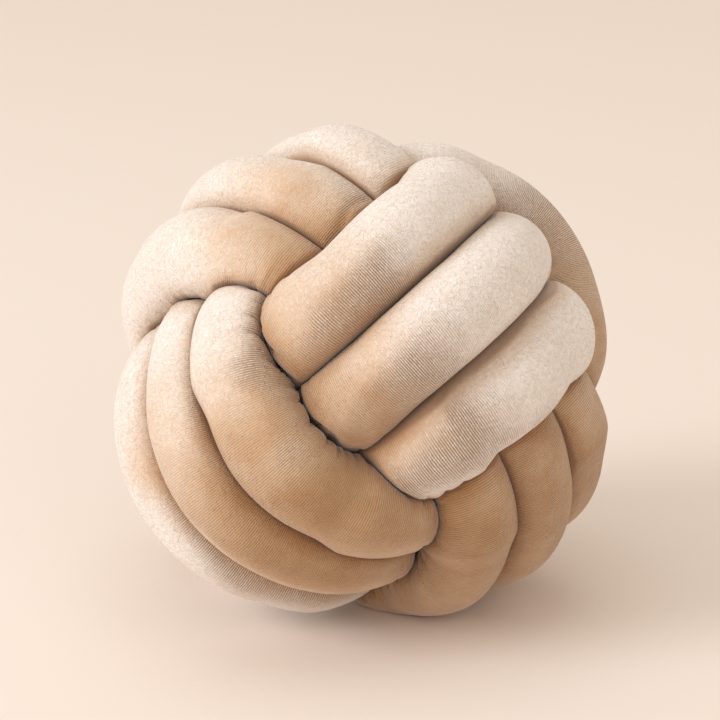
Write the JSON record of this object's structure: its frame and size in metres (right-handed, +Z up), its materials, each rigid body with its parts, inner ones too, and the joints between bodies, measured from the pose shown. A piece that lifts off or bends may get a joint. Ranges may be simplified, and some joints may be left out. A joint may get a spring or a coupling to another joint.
{
  "type": "knot cushion",
  "caption": "Round decorative cushion: a stuffed velvet tube tied into a ball of crossing bands.",
  "frame": {"origin": "on the surface the ball rests on, below the middle of its outline", "axes": "+Z up; -Y towards the viewer of the side that shows three straight turns"},
  "size_m": [0.2928, 0.292, 0.2816],
  "materials": {
    "velvet": "short-pile ribbed velvet, soft sheen"
  },
  "bodies": {
    "root": {"knot_tube": "velvet"}
  },
  "joints": []
}
